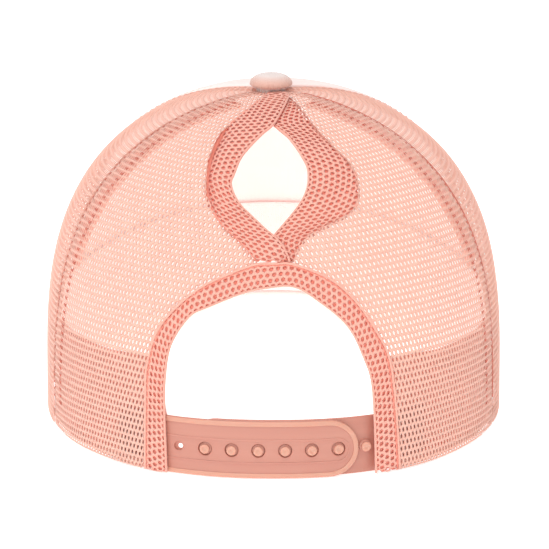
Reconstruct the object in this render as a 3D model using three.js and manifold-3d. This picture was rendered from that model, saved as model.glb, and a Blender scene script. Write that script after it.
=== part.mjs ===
// A trucker cap with a mesh back, a criss-cross hole for a ponytail, a snap strap and a curved peak.
// Millimetres. +Z is up, the peak points along -Y, the strap is at +Y and the wearer's left is +X.

import * as THREE from 'three';
import { mergeVertices } from 'three/addons/utils/BufferGeometryUtils.js';
import Module from 'manifold-3d';

const wasm = await Module();
wasm.setup();

// Crown: the outer face of the cloth, from the button down to the rim
const crownHalfWidth = 85;
const crownBackDepth = 100;
const crownFrontDepth = 98;
const crownHeight = 120;
const buttonBehindMiddle = 6;
const rimLifts = { back: 0, side: 1.5, front: 16 };
const planRoundness = 2.2;
const outwardRoundness = { back: 2.12, side: 1.9, front: 2.4 };
const upwardRoundness = { back: 1.9, side: 3.5, front: 2.4 };
const boxMiddleBehindOrigin = 34.9;
const normalStep = 0.002;
const azimuthRounds = 12;

// Cloth layers
const meshThickness = 1;
const frontThickness = 2.2;
const hemThickness = 1.4;
const clearance = 0.35;
const buttonHoleDrop = 5.5;

// Rows and columns of facets
const panelRows = 16;
const frontColumns = 20;
const sideNetColumns = 7;
const backNetColumns = 8;
const creaseRows = 20;
const archRows = 14;
const hemColumns = 4;
const archHemRows = 36;
const archHemColumns = 3;
const tapeRows = 20;
const tapeColumns = 2;
const bandRows = 3;
const bandColumns = 40;
const peakRows = 7;
const peakColumns = 28;
const strapColumns = 14;

// Seams, in degrees round from the middle of the back, and the tapes behind the side seams
const sideSeam = 69.7;
const frontSeam = 118;
const tapeWidth = 10.5;
const tapeMiddleBehindSeam = 5;
const tapeThickness = 0.8;
const tapeStart = 20;
const tapeEnd = 128.5;
const tapeDepth = 1.8;

// Peak
const peakHalfAngle = 68;
const peakHalfWidth = 83;
const peakReach = 126;
const peakRootForward = 42;
const peakCornerPower = 0.92;
const peakThickness = 3;
const peakTipTop = 16;
const peakTuck = 1.8;

// Sweatband; its ends step further in to pass behind the roots of the strap, and the left one is slanted
const sweatbandHeight = 37.5;
const sweatbandThickness = 1.5;
const sweatbandDepth = 2.9;
const sweatbandEnds = { leftFoot: 22.7, leftTop: 30, right: 25.2 };
const sweatbandStep = { from: 38, to: 46, depth: 2.6 };

// Button
const buttonDiameter = 15.6;
const buttonHeight = 5.2;
const buttonWall = 1.4;
const buttonFootShare = 0.9;
const buttonSteps = 6;
const buttonSides = 20;
const buttonLeft = 0.9;
const buttonBack = 1;
const buttonSeat = 0.9;

// Snap strap
const strapHeight = 20.2;
const strapThickness = 1.2;
const strapDepth = 2.2;
const strapLip = { width: 1.5, rise: 0.4 };
const strapLane = { tip: -26.9, bottom: 5.1, top: 13.9, edge: 0.7, rise: 0.2 };
const strapRelief = 0.4;
const strapRootAngle = 35;
const strapPastTip = 30;
const outerStrapTip = -29.8;
const innerStrapTip = 30.6;
const snapFirst = 24;
const snapPitch = 9.35;
const snapCount = 6;
const sparePeg = -32.4;
const snapMiddle = 9.9;
const pegDiameter = 3.5;
const pegRise = 0.9;
const pegRoot = 0.6;
const plugSides = 12;
const snapHoleDiameter = 4.7;
const freeHoleDiameter = 3.8;
const holeReach = 4;
const blockEnd = 60;
const blockBack = 130;
const blockDepth = 80;
const blockCurveSteps = 8;

// Edges of the ponytail hole and of the arch over the strap: how far across from the middle of the
// back (+ is the wearer's left) and how far down the cloth from the button's centre
const edges = {
  leftHole: [
    { across: -2.4, down: 5.5 },
    { across: -5.4, down: 10.5 },
    { across: -4.6, down: 16.5 },
    { across: -2.2, down: 26 },
    { across: 0.5, down: 33.2 },
    { across: 4.1, down: 38 },
    { across: 8.7, down: 44.9 },
    { across: 11.9, down: 51.3 },
    { across: 13.6, down: 57.1 },
    { across: 15.1, down: 62.6 },
    { across: 14, down: 67.2 },
    { across: 11.4, down: 71.3 },
    { across: 7.1, down: 75.7 },
    { across: 2.9, down: 80 },
    { across: -0.6, down: 83 },
    { across: -3.6, down: 87 },
    { across: -5.6, down: 92 },
  ],
  leftCrease: [
    { across: 1.2, down: 5.5 },
    { across: 4.5, down: 14 },
    { across: 9, down: 24 },
    { across: 13.5, down: 32.5 },
    { across: 18.4, down: 40.7 },
    { across: 22.4, down: 52.5 },
    { across: 24.1, down: 63.7 },
    { across: 23.4, down: 73 },
    { across: 18, down: 81 },
    { across: 11.5, down: 86 },
    { across: 6.4, down: 91.9 },
  ],
  rightHole: [
    { across: -0.3, down: 5.5 },
    { across: -2.8, down: 10.5 },
    { across: -1.9, down: 16.5 },
    { across: 0.2, down: 25 },
    { across: 0.5, down: 29 },
    { across: -1.7, down: 32.9 },
    { across: -4.9, down: 37.7 },
    { across: -7.4, down: 43.2 },
    { across: -9.9, down: 49 },
    { across: -11.9, down: 54.4 },
    { across: -12.5, down: 59.3 },
    { across: -11.9, down: 64.5 },
    { across: -9.9, down: 69.3 },
    { across: -6.8, down: 73.6 },
    { across: -3.2, down: 77.9 },
    { across: -0.3, down: 81.8 },
    { across: 0.4, down: 86 },
    { across: -1.8, down: 92 },
  ],
  rightCrease: [
    { across: -2.5, down: 5.5 },
    { across: -6.6, down: 12 },
    { across: -10.8, down: 24 },
    { across: -15.9, down: 38 },
    { across: -21.9, down: 50 },
    { across: -27.2, down: 59.1 },
    { across: -30.2, down: 68.5 },
    { across: -30.2, down: 76.6 },
    { across: -26, down: 80 },
    { across: -19.2, down: 81.4 },
    { across: -11.5, down: 84.6 },
    { across: -7, down: 92 },
  ],
  archInside: [
    { across: 37.9, down: 169 },
    { across: 38.5, down: 152.2 },
    { across: 38.3, down: 141.3 },
    { across: 36.2, down: 129.4 },
    { across: 29.8, down: 117.2 },
    { across: 23, down: 111.2 },
    { across: 11.7, down: 104 },
    { across: 3, down: 101.2 },
    { across: -7.4, down: 101 },
    { across: -17.4, down: 108.7 },
    { across: -26.2, down: 119 },
    { across: -31.8, down: 131.7 },
    { across: -35, down: 143.5 },
    { across: -36.3, down: 169 },
  ],
  archOutside: [
    { across: 45.2, down: 169 },
    { across: 44.9, down: 151.6 },
    { across: 44.4, down: 140.5 },
    { across: 40.8, down: 127.3 },
    { across: 33.4, down: 114.9 },
    { across: 24.6, down: 104.7 },
    { across: 15.4, down: 97.8 },
    { across: 6.6, down: 93.2 },
    { across: -0.3, down: 92.6 },
    { across: -7.2, down: 93.2 },
    { across: -18.6, down: 99.7 },
    { across: -27.7, down: 109.9 },
    { across: -35.3, down: 123.5 },
    { across: -41.1, down: 138.6 },
    { across: -44.4, down: 169 },
  ],
};

// How far the two eye hems ride over and under each other, and the fold that runs beside them
const overlap = { leftTop: 0.5, rightTop: -1.5, leftCross: 1, rightCross: -1.05 };
const crossingEnds = { topFull: 34, topNone: 46, lowNone: 70, lowFull: 80 };
const foldRise = 1.1;
const foldWidth = 9;
const foldEndRows = 4;
const creaseSink = { depth: 0.9, from: 0.6 };
const holeEdgeSink = { depth: 0.4, to: 0.4 };
const archCrown = 0.3;

const degrees = Math.PI / 180;
const signedPower = (value, power) => Math.sign(value) * Math.abs(value) ** power;
const mix = (from, to, share) => from + (to - from) * share;
const ease = (from, to, value) => THREE.MathUtils.smoothstep(value, from, to);

// Shares of back, side and front in the crown's shape at one azimuth
function facing(azimuth) {
  const along = Math.cos(azimuth);
  return { back: Math.max(along, 0) ** 2, side: Math.sin(azimuth) ** 2, front: Math.max(-along, 0) ** 2 };
}

function blendOf(share, table) {
  return table.back * share.back + table.side * share.side + table.front * share.front;
}

const rimHeight = (azimuth) => blendOf(facing(azimuth), rimLifts);

// Crown surface: azimuth runs round from the back towards +X, slope from 0 at the button to 90 degrees
function crownPoint(azimuth, slope) {
  const share = facing(azimuth);
  const outward = Math.sin(slope) ** (2 / blendOf(share, outwardRoundness));
  const upward = Math.max(Math.cos(slope), 0) ** (2 / blendOf(share, upwardRoundness));
  const depth = Math.cos(azimuth) > 0 ? crownBackDepth : crownFrontDepth;
  const x = crownHalfWidth * signedPower(Math.sin(azimuth), 2 / planRoundness);
  const y = depth * signedPower(Math.cos(azimuth), 2 / planRoundness);
  return new THREE.Vector3(
    x * outward,
    mix(buttonBehindMiddle, y, outward),
    mix(rimHeight(azimuth), crownHeight, upward),
  );
}

// The same surface moved out along its normal, or in where the lift is negative
function clothPoint(azimuth, slope, lift) {
  const lower = Math.min(slope, Math.PI / 2);
  const ahead = crownPoint(azimuth + normalStep, lower);
  const round = ahead.sub(crownPoint(azimuth - normalStep, lower));
  const fall = crownPoint(azimuth, lower).sub(crownPoint(azimuth, lower - normalStep));
  const normal = new THREE.Vector3().crossVectors(round, fall).normalize();
  return crownPoint(azimuth, lower).addScaledVector(normal, lift);
}

// Length of cloth from the button down the middle of the back, at each degree of slope
const clothLengths = [0];
for (let degree = 1; degree <= 90; degree += 1) {
  const step = crownPoint(0, degree * degrees).distanceTo(crownPoint(0, (degree - 1) * degrees));
  clothLengths.push(clothLengths[degree - 1] + step);
}

function slopeAtDown(down) {
  const above = clothLengths.findLastIndex((length) => length <= down);
  if (above >= 90) {
    return Math.PI / 2;
  }
  const share = (down - clothLengths[above]) / (clothLengths[above + 1] - clothLengths[above]);
  return (above + share) * degrees;
}

// Azimuth of the point that lies a given distance across from the middle at one slope
function azimuthAtAcross(across, slope) {
  let azimuth = 0;
  for (let round = 0; round < azimuthRounds; round += 1) {
    const reach = crownHalfWidth * Math.sin(slope) ** (2 / blendOf(facing(azimuth), outwardRoundness));
    const sine = signedPower(across / reach, planRoundness / 2);
    azimuth = Math.asin(THREE.MathUtils.clamp(sine, -1, 1));
  }
  return azimuth;
}

function placeOnCrown(flat) {
  const slope = slopeAtDown(flat.y);
  return { azimuth: azimuthAtAcross(flat.x, slope), slope };
}

// Evenly spaced flat points along an edge, moved sideways by a gap
function edgePoints(rows, count, gap) {
  const curve = new THREE.SplineCurve(rows.map((row) => new THREE.Vector2(row.across, row.down)));
  return curve.getSpacedPoints(count).map((point, index) => {
    const along = curve.getTangentAt(index / count);
    return new THREE.Vector2(point.x - along.y * gap, point.y + along.x * gap);
  });
}

// Closed sheet of cloth: place gives the point at a row and column on the outer or the inner face
function sheetGeometry(rows, columns, place) {
  const positions = [];
  const indices = [];
  const stride = columns + 1;
  const layer = (rows + 1) * stride;
  for (const face of [0, 1]) {
    for (let row = 0; row <= rows; row += 1) {
      for (let column = 0; column <= columns; column += 1) {
        positions.push(...place(row, column, face).toArray());
      }
    }
  }
  const quad = (a, b, c, d) => indices.push(a, b, c, a, c, d);
  for (let row = 0; row < rows; row += 1) {
    for (let column = 0; column < columns; column += 1) {
      const corner = row * stride + column;
      quad(corner, corner + stride, corner + stride + 1, corner + 1);
      quad(layer + corner, layer + corner + 1, layer + corner + stride + 1, layer + corner + stride);
    }
  }
  const border = [];
  for (let column = 0; column < columns; column += 1) {
    border.push(column);
  }
  for (let row = 0; row < rows; row += 1) {
    border.push(row * stride + columns);
  }
  for (let column = columns; column > 0; column -= 1) {
    border.push(rows * stride + column);
  }
  for (let row = rows; row > 0; row -= 1) {
    border.push(row * stride);
  }
  border.forEach((from, index) => {
    const to = border[(index + 1) % border.length];
    quad(from, to, layer + to, layer + from);
  });
  return facingOut(positions, indices);
}

// Turns every face round where the closed mesh would be inside out
function facingOut(positions, indices) {
  const corner = (index) => new THREE.Vector3().fromArray(positions, index * 3);
  let volume = 0;
  for (let start = 0; start < indices.length; start += 3) {
    const [a, b, c] = indices.slice(start, start + 3).map(corner);
    volume += a.dot(b.cross(c));
  }
  if (volume < 0) {
    indices.reverse();
  }
  const geometry = new THREE.BufferGeometry();
  geometry.setAttribute('position', new THREE.Float32BufferAttribute(positions, 3));
  geometry.setIndex(indices);
  return geometry;
}

function toSolid(geometry) {
  const bare = geometry.clone();
  bare.deleteAttribute('normal');
  bare.deleteAttribute('uv');
  const merged = mergeVertices(bare, 1e-4);
  return new wasm.Manifold(new wasm.Mesh({
    numProp: 3,
    vertProperties: new Float32Array(merged.getAttribute('position').array),
    triVerts: new Uint32Array(merged.getIndex().array),
  }));
}

function fromSolid(solid) {
  const mesh = solid.getMesh();
  const geometry = new THREE.BufferGeometry();
  geometry.setAttribute('position', new THREE.BufferAttribute(mesh.vertProperties, 3));
  geometry.setIndex(new THREE.BufferAttribute(mesh.triVerts, 1));
  return geometry;
}

// One cloth panel between two lines of places, given as the same number of azimuth and slope pairs
function clothSheet(first, last, columns, thickness, lift) {
  return sheetGeometry(first.length - 1, columns, (row, column, face) => {
    const share = column / columns;
    const azimuth = mix(first[row].azimuth, last[row].azimuth, share);
    const slope = mix(first[row].slope, last[row].slope, share);
    return clothPoint(azimuth, slope, lift(row, share) - face * thickness);
  });
}

// A line of places down one azimuth, kept clear of the seam by an angle that grows towards the button
function seamLine(seamAngle, count, side) {
  return Array.from({ length: count + 1 }, (unused, index) => {
    const slope = mix(slopeAtDown(buttonHoleDrop), Math.PI / 2, index / count);
    const reach = crownHalfWidth * Math.sin(slope);
    return { azimuth: seamAngle * degrees + (side * clearance) / reach, slope };
  });
}

// How far the hems of the ponytail hole cross at each distance down: at the top, below, and not
function crossing(down) {
  const top = 1 - ease(crossingEnds.topFull, crossingEnds.topNone, down);
  const low = ease(crossingEnds.lowNone, crossingEnds.lowFull, down);
  return { top, low, none: (1 - top) * (1 - low) };
}

// The half of the arch's edge that lies on one side, from its top down
function halfArch(rows, side, count, gap) {
  const points = edgePoints(rows, 2 * count, gap);
  return side > 0 ? points.slice(0, count).reverse() : points.slice(count + 1);
}

// Back mesh panels, from the hems to the side seams
function backMesh(side) {
  const crease = side > 0 ? edges.leftCrease : edges.rightCrease;
  const inner = [
    ...edgePoints(crease, creaseRows, -side * clearance),
    ...halfArch(edges.archOutside, side, archRows, clearance),
  ];
  const outer = seamLine(side * sideSeam, inner.length - 1, -side);
  const rise = inner.map((point, row) => {
    const beside = 1 - ease(creaseRows, creaseRows + foldEndRows, row);
    return foldRise * beside * crossing(point.y).none;
  });
  const lift = (row, share) => {
    const width = inner[row].distanceTo(new THREE.Vector2(side * crownHalfWidth, inner[row].y));
    return rise[row] * (1 - ease(0, foldWidth / width, share));
  };
  return clothSheet(inner.map(placeOnCrown), outer, backNetColumns, meshThickness, lift);
}

// Hems of the ponytail hole, a doubled strip each; the left one crosses over the right one
function holeHem(side) {
  const hole = edgePoints(side > 0 ? edges.leftHole : edges.rightHole, creaseRows, 0);
  const crease = edgePoints(side > 0 ? edges.leftCrease : edges.rightCrease, creaseRows, 0);
  const top = side > 0 ? overlap.leftTop : overlap.rightTop;
  const cross = side > 0 ? overlap.leftCross : overlap.rightCross;
  const lift = (row, share) => {
    const part = crossing(hole[row].y);
    const holeSink = holeEdgeSink.depth * (1 - ease(0, holeEdgeSink.to, share));
    const sink = holeSink + creaseSink.depth * ease(creaseSink.from, 1, share);
    return part.top * top + part.low * cross - part.none * sink;
  };
  const first = hole.map(placeOnCrown);
  return clothSheet(first, crease.map(placeOnCrown), hemColumns, hemThickness, lift);
}

// Hem of the arch over the strap, one doubled strip from rim to rim
function archHem() {
  const inside = edgePoints(edges.archInside, archHemRows, 0).map(placeOnCrown);
  const outside = edgePoints(edges.archOutside, archHemRows, 0).map(placeOnCrown);
  const lift = (row, share) => archCrown * (1 - (2 * share - 1) ** 2);
  return clothSheet(inside, outside, archHemColumns, hemThickness, lift);
}

// Side mesh panels and the front panel, plain sheets between two seams
function seamedPanel(fromAngle, toAngle, columns, thickness) {
  const first = seamLine(fromAngle, panelRows, 1);
  const last = seamLine(toAngle, panelRows, -1);
  return clothSheet(first, last, columns, thickness, () => 0);
}

// Tape sewn inside a side seam, on its back side, between the button and the sweatband
function seamTape(side) {
  return sheetGeometry(tapeRows, tapeColumns, (row, column, face) => {
    const slope = mix(slopeAtDown(tapeStart), slopeAtDown(tapeEnd), row / tapeRows);
    const fromSeam = (0.5 - column / tapeColumns) * tapeWidth + tapeMiddleBehindSeam;
    const turn = (side * fromSeam) / (crownBackDepth * Math.sin(slope));
    return clothPoint(side * sideSeam * degrees - turn, slope, -tapeDepth - face * tapeThickness);
  });
}

// A point of the crown's wall at a real height, moved in or out level
function wallPoint(azimuth, height, lift) {
  const share = facing(azimuth);
  const rise = Math.max(height - rimHeight(azimuth), 0) / (crownHeight - rimHeight(azimuth));
  const slope = Math.acos(rise ** (blendOf(share, upwardRoundness) / 2));
  return clothPoint(azimuth, slope, lift).setZ(height);
}

// Sweatband: a strip inside the rim whose ends lie behind the hem of the arch
function sweatband() {
  return sheetGeometry(bandRows, bandColumns, (row, column, face) => {
    const leftEnd = mix(sweatbandEnds.leftFoot, sweatbandEnds.leftTop, row / bandRows);
    const angle = mix(leftEnd, 360 - sweatbandEnds.right, column / bandColumns);
    const azimuth = angle * degrees;
    const height = rimHeight(azimuth) + clearance + (row / bandRows) * sweatbandHeight;
    const inward = 1 - ease(sweatbandStep.from, sweatbandStep.to, Math.min(angle, 360 - angle));
    const depth = sweatbandDepth + sweatbandStep.depth * inward;
    return wallPoint(azimuth, height, -depth - face * sweatbandThickness);
  });
}

// Peak: a curved board whose root lies under the rim and whose sides come down to the table
function peak() {
  return sheetGeometry(peakRows, peakColumns, (row, column, face) => {
    const turn = mix(-1, 1, column / peakColumns);
    const azimuth = (180 - turn * peakHalfAngle) * degrees;
    const root = clothPoint(azimuth, Math.PI / 2, -peakTuck).setZ(rimHeight(azimuth) - clearance);
    const swing = (turn * Math.PI) / 2;
    const x = peakHalfWidth * signedPower(Math.sin(swing), peakCornerPower);
    const y = -peakRootForward - peakReach * Math.max(Math.cos(swing), 0) ** peakCornerPower;
    const bow = 1 - (x / peakHalfWidth) ** 2;
    const edge = new THREE.Vector3(x, y, mix(peakThickness, peakTipTop, bow));
    const point = root.lerp(edge, row / peakRows);
    return point.setZ(point.z - face * peakThickness);
  });
}

// Button: a cloth-covered dome, turned about its own axis
function topButton() {
  const radius = buttonDiameter / 2;
  const profile = [new THREE.Vector2(0, 0), new THREE.Vector2(radius * buttonFootShare, 0)];
  for (let step = 0; step < buttonSteps; step += 1) {
    const angle = (step / buttonSteps) * (Math.PI / 2);
    const rise = buttonWall + (buttonHeight - buttonWall) * Math.sin(angle);
    profile.push(new THREE.Vector2(radius * Math.cos(angle), rise));
  }
  profile.push(new THREE.Vector2(0, buttonHeight));
  const dome = new THREE.LatheGeometry(profile, buttonSides).rotateX(Math.PI / 2);
  return fromSolid(toSolid(dome));
}

// Level band of the strap between two azimuths and two depths behind the crown's face
function strapBand(fromAngle, toAngle, outerLift, innerLift) {
  return toSolid(sheetGeometry(1, strapColumns, (row, column, face) => {
    const azimuth = mix(fromAngle, toAngle, column / strapColumns) * degrees;
    return wallPoint(azimuth, row * strapHeight, face ? innerLift : outerLift);
  }));
}

// A block through the back of the cap whose outline, seen from behind, is a bar with one round end
function roundEndedBlock(tip, farEnd, bottom, top) {
  const radius = (top - bottom) / 2;
  const toTip = Math.sign(tip - farEnd);
  const outline = new THREE.Shape();
  outline.moveTo(farEnd, bottom);
  outline.lineTo(tip - toTip * radius, bottom);
  outline.absarc(tip - toTip * radius, bottom + radius, radius, -Math.PI / 2, Math.PI / 2, toTip < 0);
  outline.lineTo(farEnd, top);
  outline.closePath();
  const block = new THREE.ExtrudeGeometry(outline, {
    depth: blockDepth,
    bevelEnabled: false,
    curveSegments: blockCurveSteps,
  });
  return toSolid(block.rotateX(Math.PI / 2).translate(0, blockBack, 0));
}

// Cylinder standing out from the strap at a distance across, from one lift to another
function snapPlug(across, diameter, fromLift, toLift) {
  const azimuth = azimuthAtAcross(across * (1 + strapDepth / crownHalfWidth), Math.PI / 2);
  const from = wallPoint(azimuth, snapMiddle, fromLift);
  const to = wallPoint(azimuth, snapMiddle, toLift);
  const plug = new THREE.CylinderGeometry(diameter / 2, diameter / 2, from.distanceTo(to), plugSides);
  const turn = new THREE.Quaternion().setFromUnitVectors(
    new THREE.Vector3(0, 1, 0),
    to.clone().sub(from).normalize(),
  );
  const middle = from.clone().lerp(to, 0.5);
  return toSolid(plug.applyQuaternion(turn).translate(middle.x, middle.y, middle.z));
}

const snapAcross = (index) => snapFirst - index * snapPitch;

// The same outline as a raised edge of one width
function ring(tip, farEnd, bottom, top, width) {
  const innerTip = tip - Math.sign(tip - farEnd) * width;
  const inside = roundEndedBlock(innerTip, farEnd, bottom + width, top - width);
  return roundEndedBlock(tip, farEnd, bottom, top).subtract(inside);
}

// Outer strap, from the wearer's left: raised lip and lane, six holes for the pegs and one left free
function outerStrap() {
  const band = (outerLift, innerLift) => strapBand(strapRootAngle, -strapPastTip, outerLift, innerLift);
  const lip = band(-strapDepth + strapLip.rise, -strapDepth - strapRelief)
    .intersect(ring(outerStrapTip, blockEnd, 0, strapHeight, strapLip.width));
  const lane = band(-strapDepth + strapLane.rise, -strapDepth - strapRelief)
    .intersect(ring(strapLane.tip, blockEnd, strapLane.bottom, strapLane.top, strapLane.edge));
  let strap = band(-strapDepth, -strapDepth - strapThickness)
    .intersect(roundEndedBlock(outerStrapTip, blockEnd, 0, strapHeight))
    .add(lip)
    .add(lane);
  for (let index = -1; index < snapCount; index += 1) {
    const diameter = index < 0 ? freeHoleDiameter : snapHoleDiameter;
    const from = -strapDepth - holeReach;
    strap = strap.subtract(snapPlug(snapAcross(index), diameter, from, -strapDepth + holeReach));
  }
  return fromSolid(strap);
}

// Inner strap, from the wearer's right: a plain band with seven pegs, the last one spare
function innerStrap() {
  const face = -strapDepth - strapThickness - clearance;
  let strap = strapBand(-strapRootAngle, strapPastTip, face, face - strapThickness)
    .intersect(roundEndedBlock(innerStrapTip, -blockEnd, 0, strapHeight));
  for (let index = 0; index <= snapCount; index += 1) {
    const across = index < snapCount ? snapAcross(index) : sparePeg;
    strap = strap.add(snapPlug(across, pegDiameter, face - pegRoot, -strapDepth + pegRise));
  }
  return fromSolid(strap);
}

function finish(color, roughness) {
  return new THREE.MeshStandardMaterial({ color, roughness, metalness: 0, side: THREE.DoubleSide });
}

const meshCloth = finish('#f0bda6', 0.85);
const hemCloth = finish('#e8ab98', 0.85);
const frontCloth = finish('#fae6dc', 0.9);
const tapeCloth = finish('#f6c4b5', 0.85);
const bandCloth = finish('#eba893', 0.85);
const snapPlastic = finish('#e09b8a', 0.45);
const buttonCloth = finish('#edc0b1', 0.8);

const cap = new THREE.Group();
cap.position.y = boxMiddleBehindOrigin;

function addPiece(name, geometry, material) {
  const piece = new THREE.Mesh(geometry, material.clone());
  piece.name = name;
  cap.add(piece);
  return piece;
}

const frontShape = seamedPanel(frontSeam, 360 - frontSeam, frontColumns, frontThickness);
const leftShape = seamedPanel(sideSeam, frontSeam, sideNetColumns, meshThickness);
const rightShape = seamedPanel(-frontSeam, -sideSeam, sideNetColumns, meshThickness);

addPiece('front_panel', frontShape, frontCloth);
addPiece('peak', peak(), frontCloth);
addPiece('side_mesh_left', leftShape, meshCloth);
addPiece('side_mesh_right', rightShape, meshCloth);
addPiece('back_mesh_left', backMesh(1), meshCloth);
addPiece('back_mesh_right', backMesh(-1), meshCloth);
addPiece('ponytail_hem_left', holeHem(1), hemCloth);
addPiece('ponytail_hem_right', holeHem(-1), hemCloth);
addPiece('arch_hem', archHem(), hemCloth);
addPiece('side_seam_tape_left', seamTape(1), tapeCloth);
addPiece('side_seam_tape_right', seamTape(-1), tapeCloth);
addPiece('sweatband', sweatband(), bandCloth);
addPiece('snap_strap_outer', outerStrap(), snapPlastic);
addPiece('snap_strap_inner', innerStrap(), snapPlastic);

const button = addPiece('top_button', topButton(), buttonCloth);
button.position.set(buttonLeft, buttonBehindMiddle + buttonBack, crownHeight + buttonSeat);

export default cap;
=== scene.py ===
# A pink trucker cap with a net back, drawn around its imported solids.
# Shapes are worked out in millimetres of the cap's own frame and turn to metres where a mesh is made.

import math

import bmesh
import bpy
import numpy as np
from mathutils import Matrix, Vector


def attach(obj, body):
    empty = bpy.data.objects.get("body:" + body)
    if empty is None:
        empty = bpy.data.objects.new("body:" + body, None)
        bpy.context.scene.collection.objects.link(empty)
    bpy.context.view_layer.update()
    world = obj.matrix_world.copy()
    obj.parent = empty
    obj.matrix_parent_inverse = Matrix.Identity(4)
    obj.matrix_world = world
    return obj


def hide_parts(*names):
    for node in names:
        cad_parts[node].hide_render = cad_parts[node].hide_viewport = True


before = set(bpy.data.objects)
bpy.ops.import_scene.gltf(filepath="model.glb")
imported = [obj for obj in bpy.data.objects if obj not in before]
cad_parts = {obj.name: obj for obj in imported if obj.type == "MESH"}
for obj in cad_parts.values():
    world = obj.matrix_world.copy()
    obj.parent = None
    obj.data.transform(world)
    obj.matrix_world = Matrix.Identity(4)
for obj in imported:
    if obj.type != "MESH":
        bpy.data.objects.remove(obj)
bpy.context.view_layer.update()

# Front panel: woven polyester laminated to thin foam, cut in one piece from the button to the rim.
# The foam gives it the smooth round shape, and its pale inner face is the lining seen through the net.
cap_shift = np.array([0.0, 34.9, 0.0])
seam_gap = 0.35
button_hole_drop = 5.5
front_seam = 118.0
front_thickness = 2.2
front_edge_turn = 0.8
front_edge_share = 0.012
seam_steps = 200
slope_count = 361
crown_half_width = 85.0
crown_back_depth = 100.0
crown_front_depth = 98.0
crown_top = 120.0
crown_middle = 6.0
plan_power = 2.2


def blended(azimuth, back, side, front):
    """Mean of three values, by how much an azimuth faces the back, a side or the front."""
    along = np.cos(azimuth)
    behind = back * np.maximum(along, 0) ** 2
    ahead = front * np.maximum(-along, 0) ** 2
    return behind + side * np.sin(azimuth) ** 2 + ahead


def signed_power(value, power):
    return np.sign(value) * np.abs(value) ** power


def rim_height(azimuth):
    return blended(azimuth, 0.0, 1.5, 16.0)


def outward_power(azimuth):
    return blended(azimuth, 2.12, 1.9, 2.4)


def upward_power(azimuth):
    return blended(azimuth, 1.9, 3.5, 2.4)


def crown_point(azimuth, slope):
    """Outer face of the crown; azimuth runs from the back's middle, slope from the button."""
    outward = np.sin(slope) ** (2 / outward_power(azimuth))
    upward = np.maximum(np.cos(slope), 0) ** (2 / upward_power(azimuth))
    depth = np.where(np.cos(azimuth) > 0, crown_back_depth, crown_front_depth)
    x = crown_half_width * signed_power(np.sin(azimuth), 2 / plan_power)
    y = depth * signed_power(np.cos(azimuth), 2 / plan_power)
    rim = rim_height(azimuth)
    return np.stack([x * outward, crown_middle + (y - crown_middle) * outward,
                     rim + (crown_top - rim) * upward], axis=-1)


def cloth_point(azimuth, slope, lift):
    """The crown's face moved out along its normal, or in where the lift is negative."""
    step = 0.002
    lower = np.clip(slope, 2 * step, math.pi / 2)
    round_way = crown_point(azimuth + step, lower) - crown_point(azimuth - step, lower)
    fall = crown_point(azimuth, lower) - crown_point(azimuth, lower - step)
    normal = np.cross(round_way, fall)
    normal /= np.linalg.norm(normal, axis=-1, keepdims=True)
    return crown_point(azimuth, lower) + normal * np.asarray(lift, float)[..., None]


slope_steps = np.radians(np.linspace(0, 90, slope_count))
back_line = crown_point(np.zeros(slope_count), slope_steps)
back_lengths = np.append(0, np.cumsum(np.linalg.norm(np.diff(back_line, axis=0), axis=1)))


def slope_at_down(down):
    return np.interp(down, back_lengths, slope_steps)


def seam_line(angle, side, count):
    """Places down one seam, kept off it by an angle that grows towards the button."""
    slope = np.linspace(slope_at_down(button_hole_drop), math.pi / 2, count)
    return math.radians(angle) + side * seam_gap / (crown_half_width * np.sin(slope)), slope


def rolled_shares(count, edge):
    """Shares from 0 to 1, close together at both ends, where the cloth's edge turns in."""
    start = edge * np.array([0, 0.12, 0.4, 1.0])
    return np.concatenate([start, np.linspace(edge, 1 - edge, count)[1:-1], 1 - start[::-1]])


def edge_round(share, edge):
    """From 0 at either end to 1 past the rounded edge."""
    inward = np.clip(np.minimum(share, 1 - share) / edge, 0, 1)
    return np.sqrt(1 - (1 - inward) ** 2)


def closed_sheet(outer, inner):
    """Points and faces of a closed sheet between two grids of points."""
    rows, columns = outer.shape[:2]
    count = rows * columns
    index = np.arange(count).reshape(rows, columns)
    quads = np.stack([index[:-1, :-1], index[1:, :-1], index[1:, 1:], index[:-1, 1:]], -1)
    quads = quads.reshape(-1, 4)
    around = np.concatenate([index[0, :-1], index[:-1, -1], index[-1, :0:-1], index[:0:-1, 0]])
    ahead = np.roll(around, -1)
    border = np.stack([around, ahead, ahead + count, around + count], -1)
    faces = np.concatenate([quads, quads[:, ::-1] + count, border])
    return np.concatenate([outer.reshape(-1, 3), inner.reshape(-1, 3)]), faces


def joined(parts):
    """Several lots of points and faces as one."""
    points, faces, start = [], [], 0
    for some_points, some_faces in parts:
        points.append(some_points)
        some_faces = some_faces if isinstance(some_faces, list) else some_faces.tolist()
        faces.extend([corner + start for corner in face] for face in some_faces)
        start += len(some_points)
    return np.concatenate(points), faces


def make_piece(name, points, faces, cloth=None):
    """A smooth mesh from points in millimetres; cloth gives each point's place on the flat cloth."""
    mesh = bpy.data.meshes.new(name)
    faces = faces if isinstance(faces, list) else faces.tolist()
    mesh.from_pydata(((points + cap_shift) / 1000).tolist(), [], faces)
    if cloth is not None:
        layer = mesh.attributes.new("cloth", "FLOAT_VECTOR", "POINT")
        flat = np.zeros((len(points), 3), np.float32)
        flat[:, :2] = cloth / 1000
        layer.data.foreach_set("vector", flat.ravel())
    shape = bmesh.new()
    shape.from_mesh(mesh)
    bmesh.ops.recalc_face_normals(shape, faces=shape.faces)
    shape.to_mesh(mesh)
    shape.free()
    mesh.shade_smooth()
    piece = bpy.data.objects.new(name, mesh)
    bpy.context.scene.collection.objects.link(piece)
    return piece


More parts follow.
